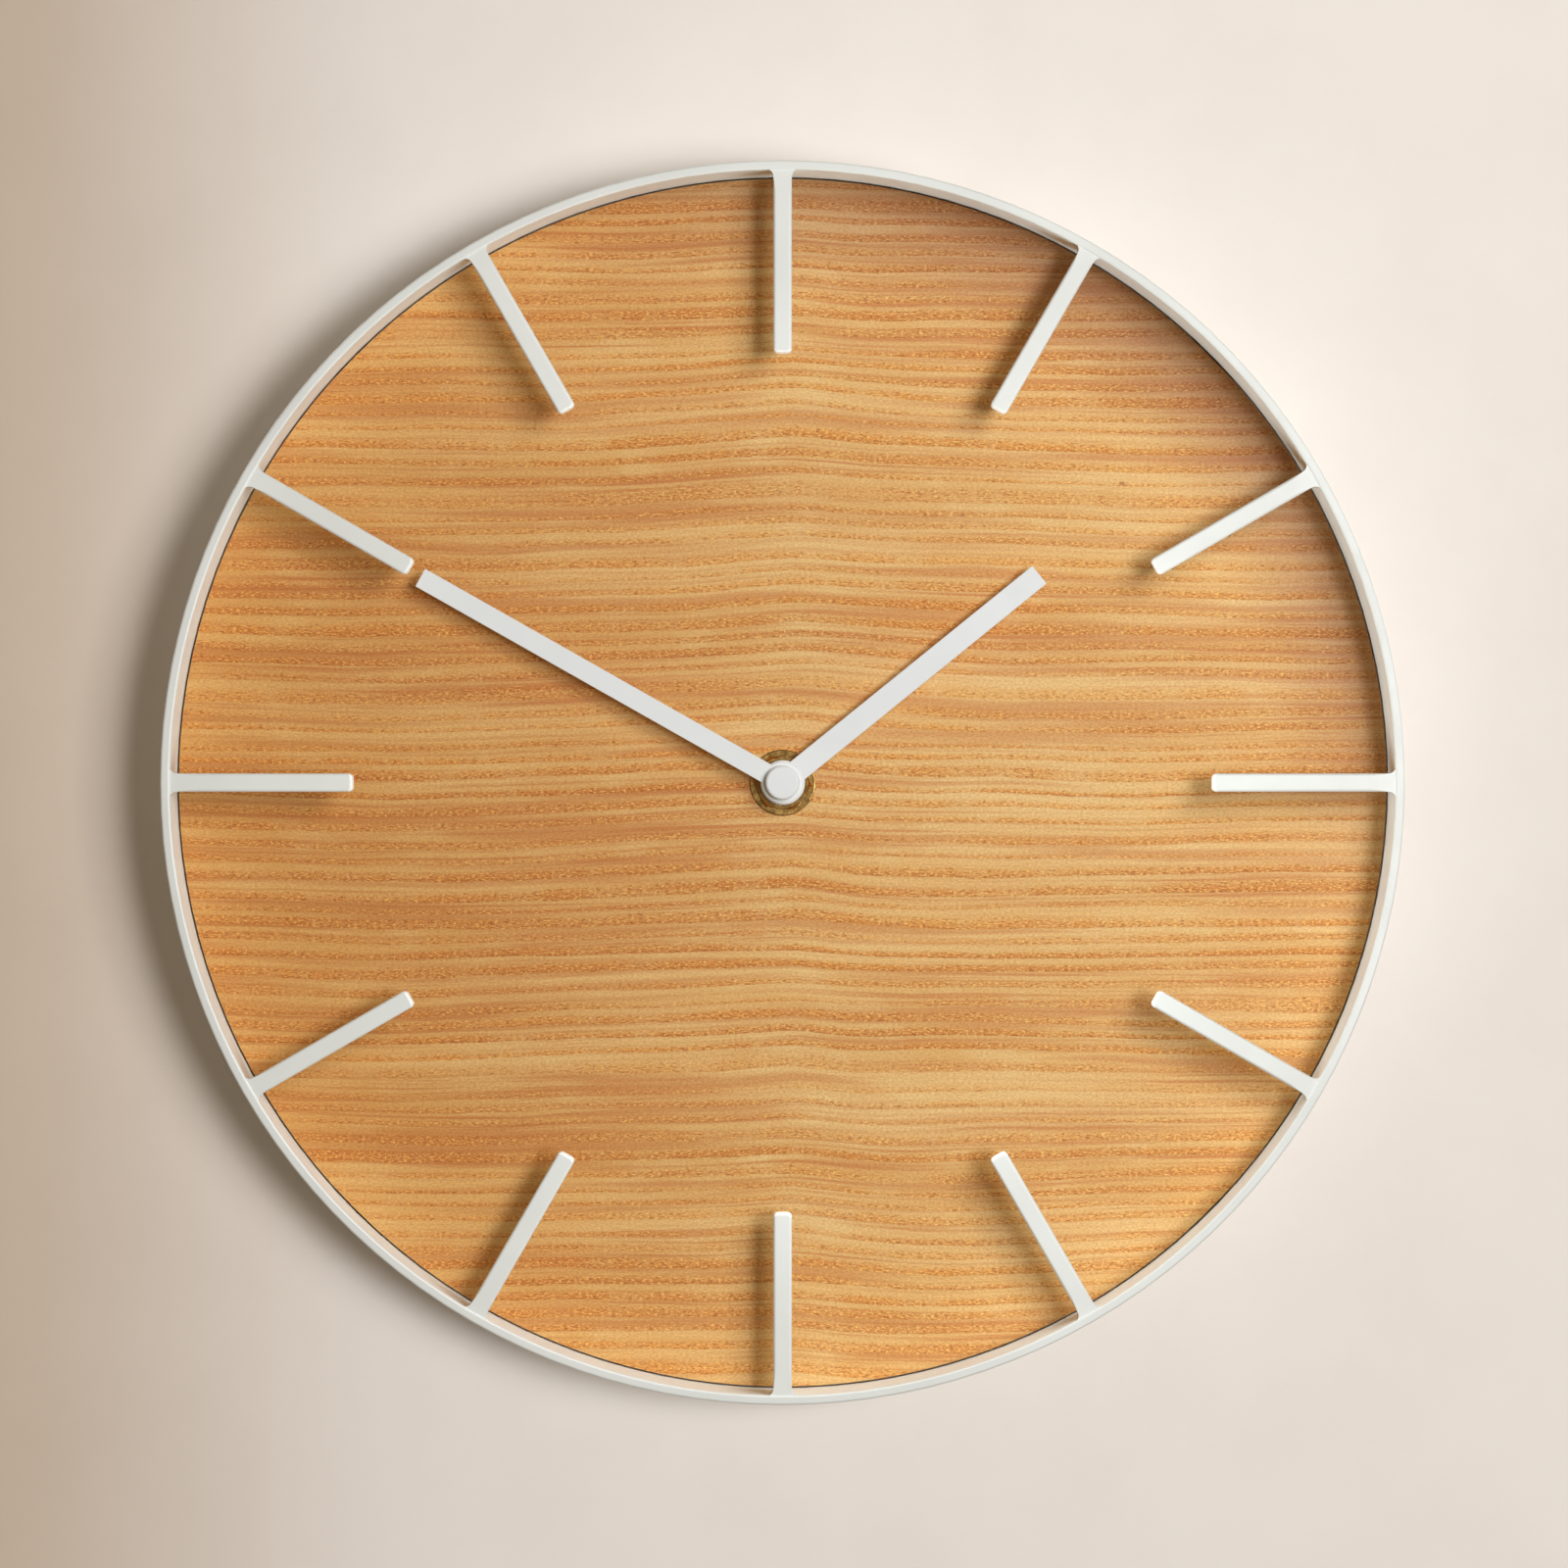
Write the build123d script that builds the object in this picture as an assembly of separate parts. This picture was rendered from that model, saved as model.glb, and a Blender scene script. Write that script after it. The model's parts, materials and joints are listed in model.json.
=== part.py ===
from build123d import *
import math
import os

# Wall clock: a steel strip ring with twelve welded bars, a recessed wooden dial,
# two flat hands and a single-cell quartz movement hung on a wall hook.
# +Z is up, the clock faces -Y, the wall is the plane y = 0.
# The origin is the centre of the hanger hole, on the wall plane.
# All measures are in millimetres. Angles are from +X towards +Z.

os.makedirs("parts", exist_ok=True)

# ------------------------------------------------------------------ driving dimensions
AXIS_Z = -34.0            # height of the hand axis below the hanger hole

RING_R = 135.0            # outside radius of the ring
RING_T = 2.0              # thickness of the strip
RING_DEPTH = 40.0         # width of the strip, from the wall to the front edge
RING_EDGE = 0.45          # rounding of the strip's edges

BAR_W = 4.0               # hour bars: width, depth, inner end
BAR_D = 6.0
BAR_TIP_R = 93.4
BAR_FRONT = -39.6
BAR_WELD = 1.6            # flare of the weld at the ring
BAR_EDGE = 0.55

DIAL_R = 132.6
DIAL_FRONT = -22.0        # the dial is 18 mm behind the ring's front edge
VENEER_T = 0.6
DIAL_T = 4.8
DIAL_HOLE_R = 5.0

TAB_W = 12.0              # welded tabs that carry the dial
TAB_L = 14.0
TAB_T = 2.0

CASE = 56.0               # movement case, square
CASE_FRONT = -16.5
CASE_SPLIT = -9.5
CASE_REAR = -1.0
CASE_WALL = 1.2
CASE_CORNER = 3.0

HOOK_Z = 34.0             # hanger hole above the hand axis
HOOK_R = 3.25
HOOK_RING_R = 6.5
HOOK_T = 3.0

BUSH_R = 4.0              # M8 bush
BUSH_BORE_R = 2.55
BUSH_END = -25.2
NUT_FLATS = 11.2

HOUR_PIPE_R = 2.5
HOUR_PIPE_BORE_R = 1.65
MINUTE_PIPE_R = 1.6
MINUTE_PIPE_BORE_R = 0.45
ARBOR_R = 0.4
PIVOT_HOLE_R = 0.45

HAND_T = 0.5
HOUR_HAND_L = 72.3
HOUR_HAND_W = 5.0
HOUR_HAND_CW = 51.0       # degrees clockwise from 12
MINUTE_HAND_L = 91.0
MINUTE_HAND_W = 4.4
MINUTE_HAND_CW = 299.5
HUB_R = 4.6

BATTERY_R = 7.25          # AA cell, 14.5 x 50.5
BATTERY_L = 50.5
BATTERY_Z = -19.3
BATTERY_Y = -8.1

M_MOTION = 0.35           # gear modules
M_HOUR = 0.336
M_CENTRE = 0.26
M_THIRD = 9.36 * 2 / 68
M_SECONDS = 0.27
M_ROTOR = 0.2


def polar(r, deg, x=0.0, z=0.0):
    a = math.radians(deg)
    return (x + r * math.cos(a), z + r * math.sin(a))


MOTION = polar(8.4, 40.0)
KNOB = polar(8.4, 0.0, *MOTION)
THIRD = polar(9.36, 150.0)
INTER = polar(9.45, 75.0)
ROTOR = polar(7.2, 70.0, *INTER)
COIL_Z = 22.5


# ------------------------------------------------------------------ helpers
def face_plane(y, x=0.0, z=0.0):
    """Plane at depth y that looks to the front: local x is +X, local y is +Z."""
    return Plane(origin=(x, y, AXIS_Z + z), x_dir=(1, 0, 0), z_dir=(0, -1, 0))


def slab(sketch, y0, y1, x=0.0, z=0.0):
    """Extrude a sketch from the rear depth to the front depth."""
    front, rear = min(y0, y1), max(y0, y1)
    return extrude(face_plane(rear, x, z) * sketch, amount=rear - front)


def disc(r, y0, y1, x=0.0, z=0.0):
    return slab(Circle(r), y0, y1, x, z)


def tube(ro, ri, y0, y1, x=0.0, z=0.0):
    return slab(Circle(ro) - Circle(ri), y0, y1, x, z)


def block(x0, x1, y0, y1, z0, z1):
    """Box between corners, z measured from the hand axis."""
    return Pos((x0 + x1) / 2, (y0 + y1) / 2, AXIS_Z + (z0 + z1) / 2) * Box(
        abs(x1 - x0), abs(y1 - y0), abs(z1 - z0)
    )


def poly(points):
    return make_face(Polyline(*points, close=True))


def edges_at_y(solid, y, tol=1e-3):
    """Edges that lie wholly in the plane at depth y."""
    found = []
    for e in solid.edges():
        b = e.bounding_box()
        if abs(b.min.Y - y) < tol and abs(b.max.Y - y) < tol:
            found.append(e)
    return found


def save(solid, name):
    solid.label = name
    export_step(solid, "parts/" + name + ".step")


# Cycloidal clock gearing. Wheel teeth have radial flanks below the pitch circle
# and an epicycloid above it; pinion leaves are thinner, radial, with round ends.
def wheel_teeth(teeth, module, mate, phase):
    r_pitch = teeth * module / 2
    roll = mate * module / 4
    half = 0.47 * math.pi / teeth
    root = r_pitch - 0.88 * module
    tip = r_pitch + 1.2 * module
    flank = []
    for k in (0.0, 0.45, 1.0):
        r = r_pitch + k * (tip - r_pitch)
        c = ((r_pitch + roll) ** 2 + roll**2 - r * r) / (2 * roll * (r_pitch + roll))
        t = roll / r_pitch * math.acos(max(-1.0, min(1.0, c)))
        x = (r_pitch + roll) * math.cos(t) - roll * math.cos((r_pitch + roll) / roll * t)
        z = (r_pitch + roll) * math.sin(t) - roll * math.sin((r_pitch + roll) / roll * t)
        flank.append((r, min(math.atan2(z, x), 0.9 * half)))
    points = []
    for n in range(teeth):
        a = math.radians(phase) + 2 * math.pi * n / teeth
        points.append((root, a - half))
        points += [(r, a - half + d) for r, d in flank]
        points += [(r, a + half - d) for r, d in reversed(flank)]
        points.append((root, a + half))
    return poly([(r * math.cos(a), r * math.sin(a)) for r, a in points])


def pinion_leaves(teeth, module, phase):
    r_pitch = teeth * module / 2
    half = 0.33 * math.pi / teeth
    root = r_pitch - 1.6 * module
    w = half * r_pitch
    points = []
    for n in range(teeth):
        a = math.radians(phase) + 2 * math.pi * n / teeth
        points.append((root, a - half))
        points.append((r_pitch, a - half))
        points.append((r_pitch + 0.75 * w, a - 0.6 * half))
        points.append((r_pitch + w, a))
        points.append((r_pitch + 0.75 * w, a + 0.6 * half))
        points.append((r_pitch, a + half))
        points.append((root, a + half))
    return poly([(r * math.cos(a), r * math.sin(a)) for r, a in points])


def mesh_phase(na, phase_a, nb, direction):
    """Tooth angle of gear b that meshes with gear a, in degrees."""
    return direction + 180.0 + (360.0 / nb) * (0.5 - (phase_a - direction) * na / 360.0)


# ------------------------------------------------------------------ ring
ring = tube(RING_R, RING_R - RING_T, -RING_DEPTH, 0.0)
ring = fillet(edges_at_y(ring, -RING_DEPTH) + edges_at_y(ring, 0.0), RING_EDGE)
save(ring, "frame_ring")

# ------------------------------------------------------------------ hour bars
ring_bore = disc(RING_R - RING_T, -RING_DEPTH, 0.0)
flare = []
for k in range(7):
    a = math.radians(15.0 * k)
    flare.append((RING_R - RING_T + 0.1 - BAR_WELD * (1 - math.sin(a)),
                  BAR_W / 2 + BAR_WELD * (1 - math.cos(a))))
bar_side = [(BAR_TIP_R, BAR_W / 2)] + flare + [(RING_R, BAR_W / 2 + BAR_WELD)]
bar_outline = [(x, -z) for x, z in bar_side] + [(x, z) for x, z in reversed(bar_side)]
bar_flat = slab(poly(bar_outline), BAR_FRONT, BAR_FRONT + BAR_D)
tip_edges = [
    e for e in bar_flat.edges()
    if abs(e.center().X - BAR_TIP_R) < 1e-3 and e.bounding_box().size.Y > BAR_D - 0.01
]
bar_flat = fillet(tip_edges, 1.0)
bar_flat = bar_flat & ring_bore
long_edges = [
    e for e in edges_at_y(bar_flat, BAR_FRONT) + edges_at_y(bar_flat, BAR_FRONT + BAR_D)
    if e.center().X < RING_R - RING_T - BAR_WELD + 0.2
]
try:
    bar_flat = fillet(long_edges, BAR_EDGE)
except Exception:
    bar_flat = chamfer(long_edges, 0.3)
for hour in range(1, 13):
    turned = bar_flat.rotate(Axis((0, 0, AXIS_Z), (0, 1, 0)), 30.0 * hour - 90.0)
    save(turned, "hour_bar_%02d" % hour)

# ------------------------------------------------------------------ dial and its fastening
dial_rear = DIAL_FRONT + DIAL_T
save(tube(DIAL_R, DIAL_HOLE_R, DIAL_FRONT, DIAL_FRONT + VENEER_T), "dial_veneer")

tabs, screws = [], []
pilot = None
for a in (45.0, 135.0, 225.0, 315.0):
    r0 = RING_R - RING_T - TAB_L
    strip = slab(
        Pos((r0 + RING_R) / 2, 0) * RectangleRounded(RING_R - r0, TAB_W, 2.0),
        dial_rear, dial_rear + TAB_T,
    )
    strip = strip.rotate(Axis((0, 0, AXIS_Z), (0, 1, 0)), -a) & ring_bore
    cx, cz = polar(RING_R - RING_T - TAB_L / 2 - 1.5, a)
    strip -= disc(1.7, dial_rear, dial_rear + TAB_T, cx, cz)
    tabs.append(strip)
    head = disc(2.75, dial_rear + TAB_T, dial_rear + TAB_T + 1.6, cx, cz)
    head = fillet(edges_at_y(head, dial_rear + TAB_T + 1.6), 0.7)
    shank = disc(1.45, dial_rear - 3.6, dial_rear + TAB_T, cx, cz)
    cross = block(cx - 1.5, cx + 1.5, dial_rear + TAB_T + 0.7, dial_rear + TAB_T + 1.7, cz - 0.3, cz + 0.3)
    cross += block(cx - 0.3, cx + 0.3, dial_rear + TAB_T + 0.7, dial_rear + TAB_T + 1.7, cz - 1.5, cz + 1.5)
    screws.append(head + shank - cross)
    hole = disc(1.45, dial_rear - 3.6, dial_rear, cx, cz)
    pilot = hole if pilot is None else pilot + hole
save(Compound(children=[t.solid() for t in tabs]), "mounting_tabs")
save(Compound(children=[s.solid() for s in screws]), "dial_screws")

core = tube(DIAL_R, DIAL_HOLE_R, DIAL_FRONT + VENEER_T, dial_rear - VENEER_T) - pilot
save(core, "dial_core")
backing = tube(DIAL_R, DIAL_HOLE_R, dial_rear - VENEER_T, dial_rear) - pilot
save(backing, "dial_backing")

# ------------------------------------------------------------------ clamping stack on the bush
save(tube(9.0, BUSH_R, CASE_FRONT, dial_rear), "rubber_washer")
washer = tube(7.25, BUSH_R, DIAL_FRONT - 0.6, DIAL_FRONT)
washer = fillet(edges_at_y(washer, DIAL_FRONT - 0.6)[:1], 0.2)
save(washer, "brass_washer")
nut = slab(RegularPolygon(NUT_FLATS / 2, 6, major_radius=False, rotation=-6.0) - Circle(BUSH_R),
           DIAL_FRONT - 2.6, DIAL_FRONT - 0.6)
cone = Pos(0, DIAL_FRONT - 1.1, AXIS_Z) * Rot(90, 0, 0) * Cone(7.2, 5.6, 3.0)
nut = nut & cone
save(nut, "hex_nut")

bush = tube(5.5, BUSH_BORE_R, CASE_FRONT, CASE_FRONT + CASE_WALL)
bush += tube(BUSH_R, BUSH_BORE_R, BUSH_END, CASE_FRONT + CASE_WALL)
save(bush, "threaded_bush")

# ------------------------------------------------------------------ movement case
half = CASE / 2
inner = half - CASE_WALL
floor_y = CASE_FRONT + CASE_WALL
back_y = CASE_REAR - CASE_WALL


def case_ring(y0, y1):
    return slab(
        RectangleRounded(CASE, CASE, CASE_CORNER)
        - RectangleRounded(2 * inner, 2 * inner, CASE_CORNER - CASE_WALL),
        y0, y1,
    )


BAY_TOP = -11.7           # underside of the partition above the cell
PARTITION = 1.0

front_plate = slab(RectangleRounded(CASE, CASE, CASE_CORNER), CASE_FRONT, floor_y)
case_front = front_plate + case_ring(floor_y, CASE_SPLIT)
case_front += block(-inner - 0.3, inner + 0.3, floor_y, CASE_SPLIT, BAY_TOP, BAY_TOP + PARTITION)
for px, pz in ((-24.6, 24.6), (24.6, 24.6), (-24.6, -8.6), (24.6, -8.6)):
    case_front += disc(1.6, floor_y, -11.2, px, pz)
case_front -= disc(5.5, CASE_FRONT, floor_y)
case_front -= disc(PIVOT_HOLE_R, -15.9, floor_y, *MOTION)
case_front -= disc(0.65, -15.9, floor_y, *KNOB)
case_front -= block(-inner, inner, -15.7, floor_y, -inner, BAY_TOP)
case_front = fillet(
    [e for e in edges_at_y(case_front, CASE_FRONT) if e.bounding_box().size.length > 2.5
     and abs(e.center().X) + abs(e.center().Z - AXIS_Z) > 20.0], 0.5)
save(case_front, "case_front")

# the hanger loop is clipped to the top edge of the rear case with a tongue
tongue = block(-4.0, 4.0, -2.8, -1.6, inner, half)
hanger = slab(Circle(HOOK_RING_R), -HOOK_T, 0.0, 0.0, HOOK_Z)
hanger += block(-HOOK_RING_R, HOOK_RING_R, -HOOK_T, 0.0, half, HOOK_Z)
hanger -= block(-10.0, 10.0, -HOOK_T, 0.0, half - 2.0, half)
hanger += tongue
hanger -= disc(HOOK_R, -HOOK_T, 0.0, 0.0, HOOK_Z)
save(hanger, "hanger_loop")

case_rear = slab(RectangleRounded(CASE, CASE, CASE_CORNER), back_y, CASE_REAR)
case_rear = fillet(edges_at_y(case_rear, CASE_REAR), 0.5)
case_rear += case_ring(CASE_SPLIT, back_y)
case_rear -= block(-inner, inner, back_y, CASE_REAR, -inner, BAY_TOP)
case_rear += block(-inner - 0.3, inner + 0.3, CASE_SPLIT, CASE_REAR, BAY_TOP, BAY_TOP + PARTITION)
case_rear -= tongue
case_rear += disc(5.8, -4.4, CASE_REAR, *KNOB)
case_rear -= disc(5.0, -3.4, CASE_REAR, *KNOB)
case_rear -= disc(1.25, -4.4, -3.4, *KNOB)
for px, pz in ((0.0, 0.0), THIRD, INTER, ROTOR):
    case_rear += disc(1.2, -3.4, back_y, px, pz)
    case_rear -= disc(PIVOT_HOLE_R, -3.4, -2.5, px, pz)
save(case_rear, "case_rear")

# ------------------------------------------------------------------ middle plate
plate = slab(RectangleRounded(53.0, 37.0, 2.0), -11.2, -10.4, 0.0, 8.0)
for px, pz in ((-14.2, 16.2), (14.2, 16.2)):
    plate += disc(0.9, -10.4, -7.6, px, pz)
for px, pz in ((-24.4, 2.0), (-19.0, 21.5)):
    plate += disc(0.8, -10.4, -9.0, px, pz)
plate -= disc(1.68, -11.2, -10.4)
plate -= disc(1.25, -11.2, -10.4, *KNOB)
for px, pz in (MOTION, THIRD, INTER, ROTOR):
    plate -= disc(PIVOT_HOLE_R, -11.2, -10.4, px, pz)
save(plate, "middle_plate")

# ------------------------------------------------------------------ gear phases
cannon_phase = 0.0
motion_phase = mesh_phase(12, cannon_phase, 36, 40.0)
motion_pinion_phase = 0.0
hour_phase = mesh_phase(10, motion_pinion_phase, 40, 220.0)
# the knob's pinion is meshed from the motion wheel, direction 0 degrees
knob_phase = mesh_phase(36, motion_phase, 12, 0.0)
centre_phase = 0.0
third_pinion_phase = mesh_phase(64, centre_phase, 8, 150.0)
third_phase = 0.0
seconds_pinion_phase = mesh_phase(60, third_phase, 8, 330.0)
seconds_phase = 0.0
inter_pinion_phase = mesh_phase(60, seconds_phase, 10, 75.0)
inter_phase = 0.0
rotor_phase = mesh_phase(60, inter_phase, 12, 70.0)

# ------------------------------------------------------------------ hour hand and wheel
hour_wheel = slab(wheel_teeth(40, M_HOUR, 10, hour_phase) - Circle(HOUR_PIPE_BORE_R), -15.0, -13.8)
hour_wheel += tube(HOUR_PIPE_R, HOUR_PIPE_BORE_R, -27.6, -14.0)
save(hour_wheel, "hour_wheel")


def hand(length, width, cw, y_front, hub_r, collar_r, collar_y, bore):
    """Flat stamped hand with a square end, a round hub and a drawn collar behind it."""
    flat = Pos(length / 2, 0) * Rectangle(length, width)
    blade = slab(flat + Circle(hub_r) - Circle(bore), y_front, y_front + HAND_T)
    try:
        blade = fillet(
            [e for e in edges_at_y(blade, y_front)
             if e.bounding_box().size.length > 3.0 and abs(e.center().X) > 0.5], 0.14)
    except Exception:
        pass
    blade += tube(collar_r, bore, y_front + HAND_T, collar_y)
    return blade.rotate(Axis((0, 0, AXIS_Z), (0, 1, 0)), cw - 90.0)


save(hand(HOUR_HAND_L, HOUR_HAND_W, HOUR_HAND_CW, -27.4, 4.9, 3.4, -25.9, HOUR_PIPE_R), "hour_hand")

# ------------------------------------------------------------------ minute hand, pipe and cap
minute_pipe = tube(MINUTE_PIPE_R, MINUTE_PIPE_BORE_R, -30.6, -8.8)
minute_pipe += slab(pinion_leaves(12, M_MOTION, cannon_phase) - Circle(MINUTE_PIPE_R - 0.2), -13.4, -11.6)
save(minute_pipe, "minute_pipe")
save(hand(MINUTE_HAND_L, MINUTE_HAND_W, MINUTE_HAND_CW, -29.6, HUB_R, 2.4, -28.1, MINUTE_PIPE_R), "minute_hand")
cap = disc(3.7, -32.6, -29.6)
cap = fillet(edges_at_y(cap, -32.6), 0.55)
cap -= disc(MINUTE_PIPE_R, -30.6, -29.6)
save(cap, "cap_nut")

# ------------------------------------------------------------------ motion wheel and setting knob
motion = slab(wheel_teeth(36, M_MOTION, 12, motion_phase), -13.0, -12.0, *MOTION)
motion += slab(pinion_leaves(10, M_HOUR, motion_pinion_phase), -15.0, -13.0, *MOTION)
motion += disc(ARBOR_R, -15.6, -10.6, *MOTION)
save(motion, "motion_wheel")

KNOB_R = 4.6
knob_outline = []
for k in range(72):
    a = math.radians(5.0 * k)
    r = KNOB_R if (k % 3) else KNOB_R - 0.3
    knob_outline.append((r * math.cos(a), r * math.sin(a)))
knob = slab(poly(knob_outline), -3.1, -0.7, *KNOB)
knob -= tube(3.6, 1.6, -1.3, -0.7, *KNOB)
knob += disc(1.2, -13.2, -3.1, *KNOB)
knob += slab(pinion_leaves(12, M_MOTION, knob_phase), -13.2, -11.8, *KNOB)
knob += disc(0.6, -15.6, -13.2, *KNOB)
save(knob, "setting_knob")

# ------------------------------------------------------------------ going train
centre_pattern = wheel_teeth(64, M_CENTRE, 8, centre_phase) - Circle(MINUTE_PIPE_R + 0.03)
centre = slab(centre_pattern, -10.0, -9.2)
centre += tube(2.6, MINUTE_PIPE_R + 0.03, -10.2, -9.0)
save(centre, "centre_wheel")

third = slab(pinion_leaves(8, M_CENTRE, third_pinion_phase), -10.1, -8.2, *THIRD)
third += slab(wheel_teeth(60, M_THIRD, 8, third_phase), -8.2, -7.4, *THIRD)
third += disc(ARBOR_R, -11.0, -2.9, *THIRD)
third += disc(1.0, -7.4, -6.9, *THIRD)
save(third, "third_wheel")

seconds = slab(pinion_leaves(8, M_THIRD, seconds_pinion_phase), -8.4, -6.4)
seconds += slab(wheel_teeth(60, M_SECONDS, 10, seconds_phase), -6.4, -5.6)
seconds += disc(ARBOR_R, -16.0, -2.9)
save(seconds, "seconds_wheel")

inter = slab(pinion_leaves(10, M_SECONDS, inter_pinion_phase), -6.6, -4.8, *INTER)
inter += slab(wheel_teeth(60, M_ROTOR, 12, inter_phase), -4.8, -4.0, *INTER)
inter += disc(ARBOR_R, -11.0, -2.9, *INTER)
save(inter, "intermediate_wheel")

rotor = slab(pinion_leaves(12, M_ROTOR, rotor_phase), -5.0, -3.8, *ROTOR)
rotor += disc(0.8, -9.0, -5.0, *ROTOR)
rotor += disc(1.9, -5.4, -5.0, *ROTOR)
rotor += disc(ARBOR_R, -11.0, -2.9, *ROTOR)
save(rotor, "rotor")
save(tube(2.5, 0.8, -8.6, -5.4, *ROTOR), "rotor_magnet")

# ------------------------------------------------------------------ stepping motor
stator = block(-16.0, 16.0, -7.6, -6.6, 14.4, 18.0)
stator += block(ROTOR[0] - 4.6, ROTOR[0] + 4.6, -7.6, -6.6, 11.6, 19.3)
stator += block(-16.0, -12.4, -7.6, -6.6, 14.4, 24.6)
stator += block(12.4, 16.0, -7.6, -6.6, 14.4, 24.6)
stator -= disc(2.95, -7.6, -6.6, *ROTOR)
save(stator, "stator")
save(block(-16.0, 16.0, -8.6, -7.6, COIL_Z - 1.6, COIL_Z + 1.6), "coil_core")

bobbin = block(-11.9, 11.9, -9.1, -7.1, COIL_Z - 2.1, COIL_Z + 2.1)
for s in (-1, 1):
    bobbin += block(s * 10.9, s * 11.9, -10.1, -6.1, COIL_Z - 3.3, COIL_Z + 3.3)
bobbin -= block(-12.0, 12.0, -8.6, -7.6, COIL_Z - 1.6, COIL_Z + 1.6)
save(bobbin, "coil_bobbin")
winding = block(-10.9, 10.9, -9.95, -6.25, COIL_Z - 2.9, COIL_Z + 2.9)
winding = fillet(
    [e for e in winding.edges() if e.bounding_box().size.X > 20.0], 1.2)
winding -= block(-10.9, 10.9, -9.1, -7.1, COIL_Z - 2.1, COIL_Z + 2.1)
save(winding, "coil_winding")

# ------------------------------------------------------------------ electronics
board = block(-26.2, -17.4, -9.0, -8.2, -8.0, 24.0)
save(board, "circuit_board")
crystal = Pos(-21.8, -7.2, AXIS_Z + 14.0) * Cylinder(1.0, 6.0)
save(crystal, "quartz_crystal")
chip = disc(2.6, -8.2, -7.3, -21.8, 1.0)
chip = fillet(edges_at_y(chip, -7.3), 0.7)
save(chip, "clock_chip")

# ------------------------------------------------------------------ cell and contacts
cell_x0 = -25.0
cell_can = cell_x0 + BATTERY_L - 1.2
cell = Pos((cell_x0 + cell_can) / 2, BATTERY_Y, AXIS_Z + BATTERY_Z) * Rot(0, 90, 0) * Cylinder(
    BATTERY_R, cell_can - cell_x0)
cell = fillet(
    [e for e in cell.edges() if e.bounding_box().size.X < 0.01], 0.4)
cell += Pos((cell_can + cell_x0 + BATTERY_L) / 2, BATTERY_Y, AXIS_Z + BATTERY_Z) * Rot(0, 90, 0) * Cylinder(
    2.75, 1.2)
save(cell, "battery")

plus = block(26.3, 26.8, -13.6, -2.6, BATTERY_Z - 5.0, BATTERY_Z + 5.0)
plus += block(25.75, 26.3, BATTERY_Y - 2.0, BATTERY_Y + 2.0, BATTERY_Z - 2.0, BATTERY_Z + 2.0)
save(plus, "contact_positive")
minus = block(-26.8, -26.4, -13.6, -2.6, BATTERY_Z - 5.0, BATTERY_Z + 5.0)
leaf = poly([(-26.6, -13.4), (-26.2, -13.4), (-25.25, -9.2), (-25.25, -7.0), (-26.2, -2.8),
             (-26.6, -2.8), (-26.6, -3.6), (-25.6, -7.2), (-25.6, -9.0), (-26.6, -12.6)])
leaf = extrude(Plane(origin=(0, 0, AXIS_Z + BATTERY_Z - 2.5), x_dir=(1, 0, 0), z_dir=(0, 0, 1)) * leaf, amount=5.0)
minus += leaf
save(minus, "contact_negative")
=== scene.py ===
import json
import math
import bpy
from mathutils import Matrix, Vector


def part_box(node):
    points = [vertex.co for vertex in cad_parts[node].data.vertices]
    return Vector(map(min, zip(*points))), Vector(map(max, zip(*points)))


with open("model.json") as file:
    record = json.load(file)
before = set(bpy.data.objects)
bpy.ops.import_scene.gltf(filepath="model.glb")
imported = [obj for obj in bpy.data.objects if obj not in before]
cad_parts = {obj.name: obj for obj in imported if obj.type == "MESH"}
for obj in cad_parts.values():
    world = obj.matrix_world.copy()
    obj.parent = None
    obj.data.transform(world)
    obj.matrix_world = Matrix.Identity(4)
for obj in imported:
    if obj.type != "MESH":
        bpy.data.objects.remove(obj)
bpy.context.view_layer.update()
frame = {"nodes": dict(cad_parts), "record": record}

ring_lo, ring_hi = [Vector(v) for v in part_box("frame_ring")]
dial_lo, dial_hi = [Vector(v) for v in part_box("dial_veneer")]
CX = (ring_lo.x + ring_hi.x) / 2
CZ = (ring_lo.z + ring_hi.z) / 2
FRONT = ring_lo.y          # front edge of the ring
WALL = ring_hi.y           # the wall behind it


# ------------------------------------------------------------------ node helpers
def lin(r, g, b):
    def f(c):
        c /= 255.0
        return c / 12.92 if c <= 0.04045 else ((c + 0.055) / 1.055) ** 2.4
    return (f(r), f(g), f(b), 1.0)


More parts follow.
